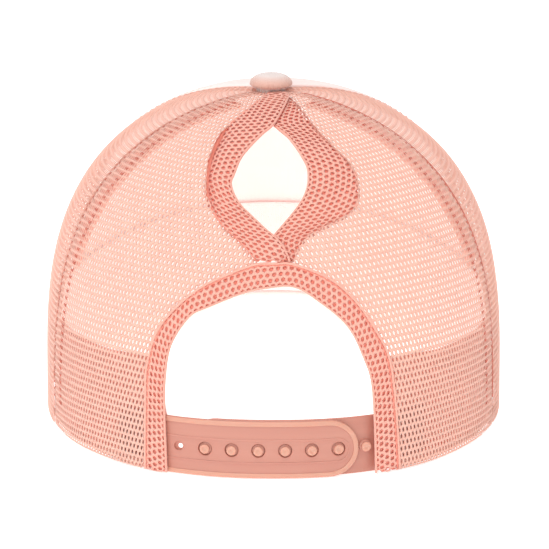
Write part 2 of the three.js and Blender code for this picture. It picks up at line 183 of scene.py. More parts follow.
front_rows = rolled_shares(56, front_edge_share)
front_columns = rolled_shares(70, front_edge_share)
front_start, front_slope = seam_line(front_seam, 1, seam_steps)
front_end, front_slope = seam_line(360 - front_seam, -1, seam_steps)
row_place = front_rows * (seam_steps - 1)
row_slope = np.interp(row_place, np.arange(seam_steps), front_slope)[:, None]
row_start = np.interp(row_place, np.arange(seam_steps), front_start)[:, None]
row_end = np.interp(row_place, np.arange(seam_steps), front_end)[:, None]
front_azimuth = row_start + (row_end - row_start) * front_columns[None, :]
front_slopes = row_slope + 0 * front_azimuth
front_edge = (edge_round(front_rows, front_edge_share)[:, None]
              * edge_round(front_columns, front_edge_share)[None, :])
front_turn = front_edge_turn * (1 - front_edge)
front_puff = 0.5 * np.sin(math.pi * np.clip(front_columns * 9, 0, 0.5))[None, :] * front_edge
front_outer = cloth_point(front_azimuth, front_slopes, front_puff - front_turn)
front_inner = cloth_point(front_azimuth, front_slopes, front_turn - front_thickness)
front_points, front_faces = closed_sheet(front_outer, front_inner)
front_flat = np.stack([front_azimuth * 60, np.degrees(front_slopes) * 1.9], -1).reshape(-1, 2)
front_panel = make_piece("front_panel_cloth", front_points, front_faces, np.tile(front_flat, (2, 1)))


def linear(hex_colour):
    """An sRGB hex colour as the linear red, green, blue and alpha that a shader takes."""
    parts = [int(hex_colour[at:at + 2], 16) / 255 for at in (1, 3, 5)]
    return [p / 12.92 if p <= 0.04045 else ((p + 0.055) / 1.055) ** 2.4 for p in parts] + [1.0]


def add_node(tree, kind, inputs=None, **settings):
    """Adds a node with its settings, and its inputs by name: values, or outputs to link from."""
    node = tree.nodes.new(kind)
    for name, setting in settings.items():
        setattr(node, name, setting)
    for name, value in (inputs or {}).items():
        if isinstance(value, bpy.types.NodeSocket):
            tree.links.new(value, node.inputs[name])
        else:
            node.inputs[name].default_value = value
    return node


def start_finish(name, values):
    """A new material, its node tree and its shader, whose own sockets take the values."""
    material = bpy.data.materials.new(name)
    material.use_nodes = True
    shader = material.node_tree.nodes["Principled BSDF"]
    for socket, value in values.items():
        shader.inputs[socket].default_value = value
    return material, material.node_tree, shader


def weave_bump(tree, shader, spacing, strength):
    """Crossed threads at a spacing in millimetres, as a bump. Returns the places on the flat cloth."""
    scale = math.pi / 10 / (spacing / 1000)
    cloth = add_node(tree, "ShaderNodeAttribute", attribute_name="cloth")
    across = add_node(tree, "ShaderNodeTexWave", {"Vector": cloth.outputs["Vector"], "Scale": scale},
                      bands_direction="X")
    down = add_node(tree, "ShaderNodeTexWave", {"Vector": cloth.outputs["Vector"], "Scale": scale},
                    bands_direction="Y")
    threads = add_node(tree, "ShaderNodeMath", {0: across.outputs["Fac"], 1: down.outputs["Fac"]},
                       operation="MULTIPLY")
    bump = add_node(tree, "ShaderNodeBump", {"Height": threads.outputs[0], "Strength": strength,
                                             "Distance": 0.0003})
    tree.links.new(bump.outputs["Normal"], shader.inputs["Normal"])
    return cloth


def tinted(tree, shader, noise, light, dark):
    """Base colour that drifts between two tints with a noise."""
    tint = add_node(tree, "ShaderNodeMix", {"Factor": noise.outputs["Fac"], "A": linear(light),
                                            "B": linear(dark)}, data_type="RGBA")
    tree.links.new(tint.outputs["Result"], shader.inputs["Base Color"])
    return tint


def mottled(tree, shader, cloth, light, dark, patch):
    """Base colour that drifts between two tints over patches of cloth of a size in millimetres."""
    noise = add_node(tree, "ShaderNodeTexNoise", {"Vector": cloth.outputs["Vector"],
                                                  "Scale": 1000 / patch, "Detail": 3.0})
    return tinted(tree, shader, noise, light, dark)


# Plain-woven polyester, matt with a faint sheen. Its real threads lie 0.4 mm apart and are drawn at
# 0.9 mm, because finer ones don't show.
front_finish, tree, shader = start_finish("plain_woven_polyester", {
    "Roughness": 0.85, "Sheen Weight": 0.3, "Sheen Roughness": 0.5, "Specular IOR Level": 0.3})
cloth = weave_bump(tree, shader, 0.9, 0.35)
mottled(tree, shader, cloth, "#f6e0db", "#f2d8d3", 14)

# Brushed foam lining, nearly white and quite matt, with soft mottling in place of a weave. Its faint
# glow is painted light, standing in for the daylight that comes through the thin foam.
lining_finish, tree, shader = start_finish("brushed_foam_lining", {
    "Roughness": 0.95, "Sheen Weight": 0.2, "Specular IOR Level": 0.2,
    "Emission Color": linear("#f4f4ff"), "Emission Strength": 0.18})
cloth = weave_bump(tree, shader, 1.1, 0.15)
mottled(tree, shader, cloth, "#fff9f3", "#fdf2ea", 9)

front_panel.data.materials.append(front_finish)
front_panel.data.materials.append(lining_finish)
outer_quads = (len(front_rows) - 1) * (len(front_columns) - 1)
front_panel.data.polygons.foreach_set("material_index", [
    1 if outer_quads <= index < 2 * outer_quads else 0 for index in range(len(front_faces))])
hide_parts("front_panel")
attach(front_panel, "root")

# Side nets: knitted polyester net, one panel over each ear, sewn to the front panel and to the back net.
# The net is real: brick-laid holes 1.7 mm apart in rows 2.3 mm apart, with lens-shaped strands.
side_seam = 69.7
net_thickness = 0.26
net_pitch = 1.7
net_row = 2.3
net_opening = (0.34, 0.5)
net_slant = 0.2
chart_count = 161
chart_middle = chart_count // 2
roll_sides = 8
allowance_lift = -0.85


def chart_of(low, high):
    """Lengths of cloth over azimuths from low to high degrees: across from their middle, and down."""
    azimuths = np.radians(np.linspace(low, high, chart_count))
    grid = crown_point(azimuths[:, None], slope_steps[None, :])
    down = np.cumsum(np.linalg.norm(np.diff(grid, axis=1), axis=2), axis=1)
    across = np.cumsum(np.linalg.norm(np.diff(grid, axis=0), axis=2), axis=0)
    down = np.concatenate([np.zeros((chart_count, 1)), down], axis=1)
    across = np.concatenate([np.zeros((1, slope_count)), across])
    across -= across[chart_middle]
    return {"azimuths": azimuths, "across": across, "down": down,
            "across_step": np.maximum(np.gradient(across, axis=0), 0.02),
            "down_step": np.maximum(np.gradient(down, axis=1), 0.02)}


def read_grid(table, i, j):
    """Values of a grid between its points."""
    low_i = np.clip(i.astype(int), 0, table.shape[0] - 2)
    low_j = np.clip(j.astype(int), 0, table.shape[1] - 2)
    part_i = i - low_i
    part_j = j - low_j
    near = table[low_i, low_j] * (1 - part_j) + table[low_i, low_j + 1] * part_j
    far = table[low_i + 1, low_j] * (1 - part_j) + table[low_i + 1, low_j + 1] * part_j
    return near * (1 - part_i) + far * part_i


def to_chart(chart, azimuth, slope):
    """Where places on the crown lie on the flat cloth."""
    i = np.interp(azimuth, chart["azimuths"], np.arange(chart_count))
    j = np.interp(slope, slope_steps, np.arange(slope_count))
    return np.stack([read_grid(chart["across"], i, j), read_grid(chart["down"], i, j)], axis=-1)


def from_chart(chart, flat):
    """Azimuth and slope of points on the flat cloth."""
    i = np.full(len(flat), float(chart_middle))
    j = np.interp(flat[:, 1], chart["down"][chart_middle], np.arange(slope_count))
    for _ in range(14):
        step = (flat[:, 0] - read_grid(chart["across"], i, j)) / read_grid(chart["across_step"], i, j)
        i = np.clip(i + np.clip(step, -20, 20), 0, chart_count - 1)
        step = (flat[:, 1] - read_grid(chart["down"], i, j)) / read_grid(chart["down_step"], i, j)
        j = np.clip(j + np.clip(step, -40, 40), 1, slope_count - 1)
    azimuth = np.interp(i, np.arange(chart_count), chart["azimuths"])
    return azimuth, np.interp(j, np.arange(slope_count), slope_steps)


def lies_inside(border, flat):
    """Which points lie inside a closed line of points."""
    ahead = np.roll(border, -1, axis=0)
    above = (border[None, :, 1] > flat[:, 1:]) != (ahead[None, :, 1] > flat[:, 1:])
    rise = np.where(ahead[:, 1] == border[:, 1], 1e-9, ahead[:, 1] - border[:, 1])
    meets = border[:, 0] + (ahead[:, 0] - border[:, 0]) * (flat[:, 1:] - border[:, 1]) / rise
    return (above & (flat[:, :1] < meets)).sum(axis=1) % 2 == 1


def onto_border(border, flat):
    """The nearest point of a closed line to each point."""
    leg = np.roll(border, -1, axis=0) - border
    length = np.maximum((leg ** 2).sum(axis=1), 1e-9)
    share = ((flat[:, None] - border) * leg).sum(axis=2) / length
    near = border + np.clip(share, 0, 1)[..., None] * leg
    nearest = ((near - flat[:, None]) ** 2).sum(axis=2).argmin(axis=1)
    return near[np.arange(len(flat)), nearest]


def knitted_net(border, place, lift, pitch, row, opening, slant, thickness, shift=(0.0, 0.0)):
    """Points, faces and flat places of a net whose holes fill a border on the flat cloth."""
    low = border.min(axis=0) - (pitch, row)
    high = border.max(axis=0) + (pitch, row)
    rows = np.arange(math.floor(low[1] / row), math.ceil(high[1] / row) + 1)
    columns = np.arange(math.floor(low[0] / pitch), math.ceil(high[0] / pitch) + 1)
    row_at, column_at = [grid.ravel() for grid in np.meshgrid(rows, columns, indexing="ij")]
    middle = np.stack([(column_at + 0.5 * (row_at % 2)) * pitch, row_at * row], axis=-1) + shift
    hexagon = np.array([[0, -2], [3, -1], [3, 1], [0, 2], [-3, 1], [-3, -1]]) * (pitch / 6, row / 3)
    corners = middle[:, None] + hexagon
    held = lies_inside(border, corners.reshape(-1, 2)).reshape(-1, 6).sum(axis=1) >= 3
    corners = corners[held]
    keys = np.round(corners.reshape(-1, 2) * 1000).astype(np.int64)
    unused, first, index = np.unique(keys, axis=0, return_index=True, return_inverse=True)
    index = index.reshape(-1, 6)
    shared = corners.reshape(-1, 2)[first]
    outside = ~lies_inside(border, shared)
    shared[outside] = onto_border(border, shared[outside])
    corners = shared[index]
    centre = corners.mean(axis=1, keepdims=True)
    hole = (corners - centre) * opening
    hole[..., 0] += slant * hole[..., 1]
    hole = (centre + hole).reshape(-1, 2)
    front = place(shared, lift(shared))
    back = place(shared, lift(shared) - thickness)
    rim = place(hole, lift(hole) - thickness / 2)
    count = len(shared)
    ring = 2 * count + np.arange(len(hole)).reshape(-1, 6)
    ahead = np.roll(index, -1, axis=1)
    ring_ahead = np.roll(ring, -1, axis=1)
    upper = np.stack([index, ahead, ring_ahead, ring], axis=-1).reshape(-1, 4)
    lower = np.stack([ahead + count, index + count, ring, ring_ahead], axis=-1).reshape(-1, 4)
    pairs = np.stack([index, ahead], axis=-1).reshape(-1, 2)
    unused, where, times = np.unique(np.sort(pairs, axis=1), axis=0, return_index=True,
                                     return_counts=True)
    open_edges = pairs[where[times == 1]]
    walls = np.stack([open_edges[:, 1], open_edges[:, 0], open_edges[:, 0] + count,
                      open_edges[:, 1] + count], axis=-1)
    points = np.concatenate([front, back, rim])
    return points, np.concatenate([upper, lower, walls]), np.concatenate([shared, shared, hole])


def tube_along(line, outward, half_width, half_height):
    """A closed tube of oval section along a line of points, as a rolled or folded edge."""
    forward = np.gradient(line, axis=0)
    side = np.cross(forward, outward)
    side /= np.linalg.norm(side, axis=1, keepdims=True)
    turn = np.arange(roll_sides) * 2 * math.pi / roll_sides
    ring = (side[:, None] * np.cos(turn)[None, :, None] * np.reshape(half_width, (-1, 1, 1))
            + outward[:, None] * np.sin(turn)[None, :, None] * np.reshape(half_height, (-1, 1, 1)))
    points = (line[:, None] + ring).reshape(-1, 3)
    start = np.arange(len(line) - 1)[:, None] * roll_sides
    here = start + np.arange(roll_sides)
    there = start + (np.arange(roll_sides) + 1) % roll_sides
    faces = np.stack([here, there, there + roll_sides, here + roll_sides], axis=-1)
    last = (len(line) - 1) * roll_sides
    caps = [list(range(roll_sides)), [last + k for k in range(roll_sides)]]
    return points, faces.reshape(-1, 4).tolist() + caps


def crown_line(azimuth, slope, lift):
    """A line of points on the cloth, and the way out of the cloth at each."""
    line = cloth_point(azimuth, slope, lift)
    outward = cloth_point(azimuth, slope, lift + 1) - line
    return line, outward


def thread_stitches(line, outward, pitch, length, thickness):
    """Short raised stitches along a line of points, as points and faces."""
    along = np.append(0, np.cumsum(np.linalg.norm(np.diff(line, axis=0), axis=1)))
    count = max(int(along[-1] / pitch), 1)
    starts = (np.arange(count) + 0.5) * along[-1] / count - length / 2
    place = starts[:, None] + np.array([0, 0.2, 0.5, 0.8, 1.0]) * length
    middle = np.stack([np.interp(place, along, line[:, axis]) for axis in range(3)], axis=-1)
    up = np.stack([np.interp(place, along, outward[:, axis]) for axis in range(3)], axis=-1)
    up /= np.linalg.norm(up, axis=-1, keepdims=True)
    forward = middle[:, -1:] - middle[:, :1]
    forward /= np.linalg.norm(forward, axis=-1, keepdims=True)
    side = np.cross(np.broadcast_to(forward, up.shape), up)
    rise = np.array([-0.7, 0.2, 0.45, 0.2, -0.7])[None, :, None] * thickness
    swell = np.array([0.4, 0.9, 1, 0.9, 0.4])[None, :, None, None] * thickness / 2
    turn = np.arange(6) * math.pi / 3
    ring = (side[:, :, None] * np.cos(turn)[:, None] + up[:, :, None] * np.sin(turn)[:, None]) * swell
    points = ((middle + up * rise)[:, :, None] + ring).reshape(-1, 3)
    here = np.arange(4)[:, None] * 6 + np.arange(6)
    there = np.arange(4)[:, None] * 6 + (np.arange(6) + 1) % 6
    tube = np.stack([here, there, there + 6, here + 6], axis=-1).reshape(-1, 4)
    starts_at = (np.arange(count) * 30)[:, None, None]
    faces = (tube + starts_at).reshape(-1, 4).tolist()
    caps = (np.array([[5, 4, 3, 2, 1, 0], [24, 25, 26, 27, 28, 29]]) + starts_at).reshape(-1, 6)
    return points, faces + caps.tolist()


def cloth_waves(flat):
    """Slight unevenness of the hanging net."""
    return 0.22 * np.sin(flat[:, 0] / 7.3 + flat[:, 1] / 19.0) * np.sin(flat[:, 1] / 11.7 + 0.6)


def panel_edging(chart, line, inward, width):
    """The net's seam allowance, folded in along one border line and pressed flat behind it."""
    azimuth, slope = line
    shares = np.array([0, 0.15, 0.5, 0.85, 1.0])
    swell = np.array([0.35, 0.9, 1, 0.9, 0.35])[:, None]
    flat = to_chart(chart, azimuth, slope)[None] + shares[:, None, None] * np.array(inward) * width
    place = from_chart(chart, flat.reshape(-1, 2))
    azimuths, slopes = [part.reshape(flat.shape[:2]) for part in place]
    outer = cloth_point(azimuths, slopes, allowance_lift + 0.22 * swell)
    inner = cloth_point(azimuths, slopes, allowance_lift - 0.22 * swell)
    points, faces = closed_sheet(outer, inner)
    return points, faces, np.tile(flat.reshape(-1, 2), (2, 1))


def panel_border(*lines):
    """The closed border of a panel on the flat cloth, from lines of flat places end to end."""
    border = np.concatenate(lines)
    step = np.linalg.norm(border - np.roll(border, 1, axis=0), axis=1)
    return border[step > 1e-3]


def cloth_piece(name, parts):
    """One piece from several lots of points, faces and places on the flat cloth."""
    points, faces = joined([part[:2] for part in parts])
    return make_piece(name, points, faces, np.concatenate([part[2] for part in parts]))


# Knitted polyester filament: soft and matt, bright on the strands, and thin enough to pass light.
# Its filaments are 0.05 mm thick and drawn as fine ribs 0.4 mm apart. Its painted glow is a faint coral
# emission, painted light standing in for the light that layers of the net pass to each other.
def net_finish(name, light, dark, glow, painted_glow):
    material, tree, shader = start_finish(name, {
        "Roughness": 0.8, "Sheen Weight": 0.6, "Sheen Roughness": 0.4, "Specular IOR Level": 0.3,
        "Emission Color": linear("#e2705b"), "Emission Strength": painted_glow})
    cloth = weave_bump(tree, shader, 0.4, 0.3)
    tint = mottled(tree, shader, cloth, light, dark, 6)
    through = add_node(tree, "ShaderNodeBsdfTranslucent", {"Color": tint.outputs["Result"]})
    blend = add_node(tree, "ShaderNodeMixShader", {0: glow, 1: shader.outputs[0],
                                                   2: through.outputs[0]})
    tree.links.new(blend.outputs[0], tree.nodes["Material Output"].inputs["Surface"])
    return material


panel_net = net_finish("knitted_panel_net", "#f8cdbb", "#f2bfad", 0.3, 0.03)


# Spun polyester sewing thread: soft, a little glossier than the cloth, and uneven in tint along its ply.
def thread_finish(name, light, dark, sheen):
    material, tree, shader = start_finish(name, {
        "Roughness": 0.6, "Sheen Weight": sheen, "Specular IOR Level": 0.4})
    noise = add_node(tree, "ShaderNodeTexNoise", {"Scale": 900.0, "Detail": 2.0})
    tinted(tree, shader, noise, light, dark)
    return material


seam_thread = thread_finish("spun_polyester_thread", "#f4c4b3", "#e8a591", 0.3)

for name, side in (("left", 1), ("right", -1)):
    low, high = sorted((side * side_seam, side * front_seam))
    chart = chart_of(low - 6, high + 6)
    first = seam_line(low, 1, 80)
    last = seam_line(high, -1, 80)
    rim = np.radians(np.linspace(low + 0.3, high - 0.3, 40))
    top = np.linspace(first[0][0], last[0][0], 8)
    border = panel_border(to_chart(chart, *first), to_chart(chart, rim, np.full(40, math.pi / 2)),
                          to_chart(chart, last[0][::-1], last[1][::-1]),
                          to_chart(chart, top[::-1], np.full(8, first[1][0])))
    place = lambda flat, lift: cloth_point(*from_chart(chart, flat), lift)
    net = knitted_net(border, place, lambda flat: 0.3 * cloth_waves(flat), net_pitch, net_row,
                      net_opening, net_slant, net_thickness)
    rim_line = (rim, np.full(40, math.pi / 2 - 0.001))
    edgings = [panel_edging(chart, first, (1, 0), 2.4), panel_edging(chart, last, (-1, 0), 2.4),
               panel_edging(chart, rim_line, (0, -1), 3.4)]
    side_net = cloth_piece(f"side_net_{name}", [net, *edgings])
    side_net.data.materials.append(panel_net)
    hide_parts(f"side_mesh_{name}")
    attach(side_net, "root")

    # Two rows of lockstitch hold the front panel's seam down, one on either side of it
    rows = []
    for turn in (-2.2, 2.2):
        slope = np.linspace(slope_at_down(14), math.radians(89), 200)
        azimuth = side * math.radians(front_seam) + turn / (crown_half_width * np.sin(slope))
        rows.append(thread_stitches(*crown_line(azimuth, slope, 0.2), 3.0, 2.1, 0.3))
    seam_rows = make_piece(f"front_seam_stitches_{name}", *joined(rows))
    seam_rows.data.materials.append(seam_thread)
    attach(seam_rows, "root")

# Back nets: the same knitted net on both sides of the ponytail hole. Beside the hole the net rides up in
# a soft fold where the hem pulls on it.
hem_lines = {
    "left_hole": [(-2.4, 5.5), (-5.4, 10.5), (-4.6, 16.5), (-2.2, 26), (0.5, 33.2), (4.1, 38), (8.7, 44.9),
                  (11.9, 51.3), (13.6, 57.1), (15.1, 62.6), (14, 67.2), (11.4, 71.3), (7.1, 75.7),
                  (2.9, 80), (-0.6, 83), (-3.6, 87), (-5.6, 92)],
    "left_crease": [(1.2, 5.5), (4.5, 14), (9, 24), (13.5, 32.5), (18.4, 40.7), (22.4, 52.5),
                    (24.1, 63.7), (23.4, 73), (18, 81), (11.5, 86), (6.4, 91.9)],
    "right_hole": [(-0.3, 5.5), (-2.8, 10.5), (-1.9, 16.5), (0.2, 25), (0.5, 29), (-1.7, 32.9),
                   (-4.9, 37.7), (-7.4, 43.2), (-9.9, 49), (-11.9, 54.4), (-12.5, 59.3), (-11.9, 64.5),
                   (-9.9, 69.3), (-6.8, 73.6), (-3.2, 77.9), (-0.3, 81.8), (0.4, 86), (-1.8, 92)],
    "right_crease": [(-2.5, 5.5), (-6.6, 12), (-10.8, 24), (-15.9, 38), (-21.9, 50), (-27.2, 59.1),
                     (-30.2, 68.5), (-30.2, 76.6), (-26, 80), (-19.2, 81.4), (-11.5, 84.6), (-7, 92)],
    "arch_inside": [(37.9, 169), (38.5, 152.2), (38.3, 141.3), (36.2, 129.4), (29.8, 117.2),
                    (23, 111.2), (11.7, 104), (3, 101.2), (-7.4, 101), (-17.4, 108.7), (-26.2, 119),
                    (-31.8, 131.7), (-35, 143.5), (-36.3, 169)],
    "arch_outside": [(45.2, 169), (44.9, 151.6), (44.4, 140.5), (40.8, 127.3), (33.4, 114.9),
                     (24.6, 104.7), (15.4, 97.8), (6.6, 93.2), (-0.3, 92.6), (-7.2, 93.2),
                     (-18.6, 99.7), (-27.7, 109.9), (-35.3, 123.5), (-41.1, 138.6), (-44.4, 169)],
}
crossing_ends = {"top_full": 34, "top_none": 46, "low_none": 70, "low_full": 80}
fold_rise = {"left": 1.1, "right": 0.3}
fold_width = 9.0


def smooth_line(name, count, gap=0.0):
    """Points spaced evenly along a smooth line through one of the hem lines, moved sideways by a gap."""
    rows = np.array(hem_lines[name], float)
    ends = np.vstack([rows[:1], rows, rows[-1:]])
    t = np.linspace(0, 1, 24, endpoint=False)[:, None]
    curve = []
    for before, start, end, after in zip(ends, ends[1:], ends[2:], ends[3:]):
        pull, push = (end - before) / 2, (after - start) / 2
        curve.append((2 * start - 2 * end + pull + push) * t ** 3
                     + (3 * end - 3 * start - 2 * pull - push) * t ** 2 + pull * t + start)
    curve = np.vstack(curve + [rows[-1:]])
    length = np.append(0, np.cumsum(np.linalg.norm(np.diff(curve, axis=0), axis=1)))
    at = np.linspace(0, length[-1], count)
    line = np.stack([np.interp(at, length, curve[:, axis]) for axis in (0, 1)], axis=-1)
    along = np.gradient(line, axis=0)
    along /= np.linalg.norm(along, axis=1, keepdims=True)
    return line + gap * np.stack([-along[:, 1], along[:, 0]], axis=-1)


def azimuth_at_across(across, slope):
    """Azimuth of the point at a distance across from the back's middle, at one slope."""
    azimuth = 0 * across
    for _ in range(12):
        reach = crown_half_width * np.sin(slope) ** (2 / outward_power(azimuth))
        azimuth = np.arcsin(np.clip(signed_power(across / reach, plan_power / 2), -1, 1))
    return azimuth


def on_crown(line):
    slope = slope_at_down(line[:, 1])
    return azimuth_at_across(line[:, 0], slope), slope


def smooth_step(value, start, end):
    share = np.clip((value - start) / (end - start), 0, 1)
    return share * share * (3 - 2 * share)


def crossing(down):
    """How far the two hems of the hole cross at each distance down: at the top, below, and not."""
    top = 1 - smooth_step(down, crossing_ends["top_full"], crossing_ends["top_none"])
    low = smooth_step(down, crossing_ends["low_none"], crossing_ends["low_full"])
    return top, low, (1 - top) * (1 - low)


for name, side in (("left", 1), ("right", -1)):
    low, high = sorted((side * -14, side * (side_seam + 5)))
    chart = chart_of(low, high)
    crease = smooth_line(f"{name}_crease", 90, side * 0.7)
    arch = smooth_line("arch_outside", 241, 0.1)
    half = arch[arch[:, 0] > -0.3][::-1] if side > 0 else arch[arch[:, 0] <= -0.3]
    inner = np.vstack([crease, half[half[:, 1] > crease[-1, 1] - 1]])
    inner_place = on_crown(inner)
    seam = seam_line(side * side_seam, -side, 80)
    rim = np.linspace(inner_place[0][-1], seam[0][-1], 30)
    top = np.linspace(seam[0][0], inner_place[0][0], 6)
    border = panel_border(to_chart(chart, *inner_place),
                          to_chart(chart, rim, np.full(30, math.pi / 2)),
                          to_chart(chart, seam[0][::-1], seam[1][::-1]),
                          to_chart(chart, top, np.full(6, seam[1][0])))
    fold_line = to_chart(chart, *on_crown(crease))
    fold_share = crossing(crease[:, 1])[2]

    def fold_lift(flat):
        reach = np.linalg.norm(flat[:, None] - fold_line[None], axis=2)
        nearest = reach.argmin(axis=1)
        near = reach[np.arange(len(flat)), nearest]
        return fold_rise[name] * fold_share[nearest] * (1 - smooth_step(near, 0, fold_width))

    place = lambda flat, lift: cloth_point(*from_chart(chart, flat), lift)
    lift = lambda flat: cloth_waves(flat) * smooth_step(flat[:, 1], 20, 60) + fold_lift(flat)
    net = knitted_net(border, place, lift, net_pitch, net_row, net_opening, side * net_slant,
                      net_thickness)
    rim_line = (rim, np.full(30, math.pi / 2 - 0.001))
    edgings = [panel_edging(chart, seam, (-side, 0), 2.4), panel_edging(chart, rim_line, (0, -1), 3.4)]
    back_net = cloth_piece(f"back_net_{name}", [net, *edgings])
    back_net.data.materials.append(panel_net)
    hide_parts(f"back_mesh_{name}")
    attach(back_net, "root")

# Hems of the ponytail hole: the net's edge turned over twice to a doubled strip 14 mm wide. The left
# strip crosses over the right one above and below the hole, and sinks into a deep crease at its side.
hem_pitch = 2.3
hem_row = 2.1
hem_thickness = 0.6
hem_steps = 120
hem_layers = [{"drop": 0.0, "opening": (0.52, 0.52), "shift": (0.0, 0.0)},
              {"drop": 0.75, "opening": (0.06, 0.06), "shift": (hem_pitch / 2, 0.8)}]
edge_roll = {"drop": 0.68, "half_width": 0.4, "half_height": 0.62}
hem_heights = {"left": {"top": 0.5, "low": 1.0, "crease": 1.7},
               "right": {"top": -1.2, "low": -1.05, "crease": 0.3}}


def strip_net(first, last, lift):
    """Two layers of net along a strip between two lines of places: the lower one is nearly closed."""
    first_line = cloth_point(*first, 0 * first[0])
    last_line = cloth_point(*last, 0 * last[0])
    middle = (first_line + last_line) / 2
    along = np.append(0, np.cumsum(np.linalg.norm(np.diff(middle, axis=0), axis=1)))
    width = np.linalg.norm(last_line - first_line, axis=1)
    border = np.concatenate([np.stack([along, 0 * along], -1), np.stack([along, width], -1)[::-1]])

    def share_across(flat):
        return np.clip(flat[:, 1] / np.interp(flat[:, 0], along, width), 0, 1)

    def place(flat, height):
        share = share_across(flat)
        places = [np.interp(flat[:, 0], along, first[axis]) * (1 - share)
                  + np.interp(flat[:, 0], along, last[axis]) * share for axis in (0, 1)]
        return cloth_point(*places, height)

    layers = []
    for layer in hem_layers:
        def layer_lift(flat):
            place_along = np.interp(flat[:, 0], along, np.linspace(0, 1, len(along)))
            return lift(place_along, share_across(flat)) - layer["drop"]
        layers.append(knitted_net(border, place, layer_lift, hem_pitch, hem_row, layer["opening"], 0.0,
                                  hem_thickness, layer["shift"]))
    return layers, along


def rolled_edge(line, lift):
    """The hem's rolled edge, along a line of places on the crown."""
    middle = crown_line(*line, lift - edge_roll["drop"])
    return tube_along(*middle, edge_roll["half_width"], edge_roll["half_height"])


def hem_piece(name, layers, rolls, along, slots):
    """A hem from its two layers of net and its rolled edges, with the material slot of each."""
    flat = np.stack([np.repeat(along, roll_sides), np.tile(np.arange(float(roll_sides)), len(along))], -1)
    parts = layers + [(points, faces, flat) for points, faces in rolls]
    piece = cloth_piece(name, parts)
    piece.data.materials.append(hem_net)
    piece.data.materials.append(hem_under_shaded_net)
    slot_of_face = np.repeat(slots, [len(part[1]) for part in parts])
    piece.data.polygons.foreach_set("material_index", slot_of_face.tolist())
    return piece


# The hem's upper layer, painted a little pinker than the panels and given a faint painted glow, for the
# light passing through two layers of it.
hem_net = net_finish("doubled_hem_net", "#f6beac", "#f0ae9c", 0.2, 0.04)

# Its turned-under layer: a darker copy of the net, painted shade deepening to coral between the layers, with
# a painted coral glow.
hem_under_shaded_net = net_finish("turned_under_hem_net_painted_shade", "#f2a491", "#ea9380", 0.3, 0.16)

for name, side in (("left", 1), ("right", -1)):
    hole_flat = smooth_line(f"{name}_hole", hem_steps)
    hole = on_crown(hole_flat)
    crease = on_crown(smooth_line(f"{name}_crease", hem_steps))
    top, low, none = crossing(hole_flat[:, 1])
    heights = hem_heights[name]
    raised = top * heights["top"] + low * heights["low"]

    def hem_lift(share_along, share):
        sink = 0.4 * (1 - smooth_step(share, 0, 0.4)) + heights["crease"] * smooth_step(share, 0.55, 1)
        at = share_along * (hem_steps - 1)
        return np.interp(at, np.arange(hem_steps), raised) - np.interp(at, np.arange(hem_steps), none) * sink

    layers, along = strip_net(hole, crease, hem_lift)
    edge = rolled_edge(hole, raised - none * 0.4)
    depth = none * heights["crease"]
    fold_place = on_crown(smooth_line(f"{name}_crease", hem_steps, side * 0.25))
    fold_line = crown_line(*fold_place, raised - 0.7 * depth - 0.4)
    fold = tube_along(*fold_line, 0.25 + 0.35 * depth, 0.3 + 0.45 * depth)
    # On the left the fold takes the under layer's darker colour: painted shade in the deep crease.
    slots = [0, 1, 0, 1 if name == "left" else 0]
    hem = hem_piece(f"ponytail_hem_net_{name}", layers, [edge, fold], along, slots)
    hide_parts(f"ponytail_hem_{name}")
    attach(hem, "root")

# Hem of the arch over the strap: a doubled strip of the same net 6 mm wide, with a raised seam along its
# outer side and a crease beside the seam.
arch_steps = 160
arch_inner = on_crown(smooth_line("arch_inside", arch_steps))
arch_outer = on_crown(smooth_line("arch_outside", arch_steps))
layers, along = strip_net(arch_inner, arch_outer,
                          lambda share_along, share: 0.3 - 0.3 * (2 * share - 1) ** 2)
edge = rolled_edge(arch_inner, np.zeros(arch_steps))
seam_edge = tube_along(*crown_line(*arch_outer, np.zeros(arch_steps)), 0.45, 0.4)
crease_line = on_crown(smooth_line("arch_outside", arch_steps, -0.7))
crease_shade_tube = tube_along(*crown_line(*crease_line, np.full(arch_steps, -0.15)), 0.28, 0.3)
# The crease tube takes the under layer's darker colour: painted shade in the crease beside the seam.
arch_hem = hem_piece("arch_hem_net", layers, [edge, seam_edge, crease_shade_tube], along, [0, 1, 0, 0, 1])
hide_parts("arch_hem")
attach(arch_hem, "root")

# Seam tapes: woven polyester tape 10.5 mm wide, sewn over the inside of the side seams behind the back
# net, so that it shows through the net as a pinker band between two rows of dark stitches.
tape_width = 10.5
tape_lift = -1.9
back_length = 169.0
band_width = 37.5
tape_top = 20.0
# The tape's faint coral glow is painted light, brightening it where the net over it casts shade.
tape_finish, tree, shader = start_finish("woven_seam_tape", {
    "Roughness": 0.8, "Sheen Weight": 0.3, "Specular IOR Level": 0.3,
    "Emission Color": linear("#ee8a76"), "Emission Strength": 0.2})
cloth = weave_bump(tree, shader, 0.7, 0.4)
mottled(tree, shader, cloth, "#fbbdab", "#f5af9c", 8)
# Dark coral thread for the stitches, also used below for a line of painted shade along the right side seam.
dark_thread_and_shade = thread_finish("dark_coral_thread_and_painted_shade", "#cf7561", "#b65f4d", 0.2)


def beside_seam(side, slope, distance):
    """Azimuths at a distance in millimetres to the back of a side seam."""
    return side * (math.radians(side_seam) - distance / (crown_back_depth * np.sin(slope)))


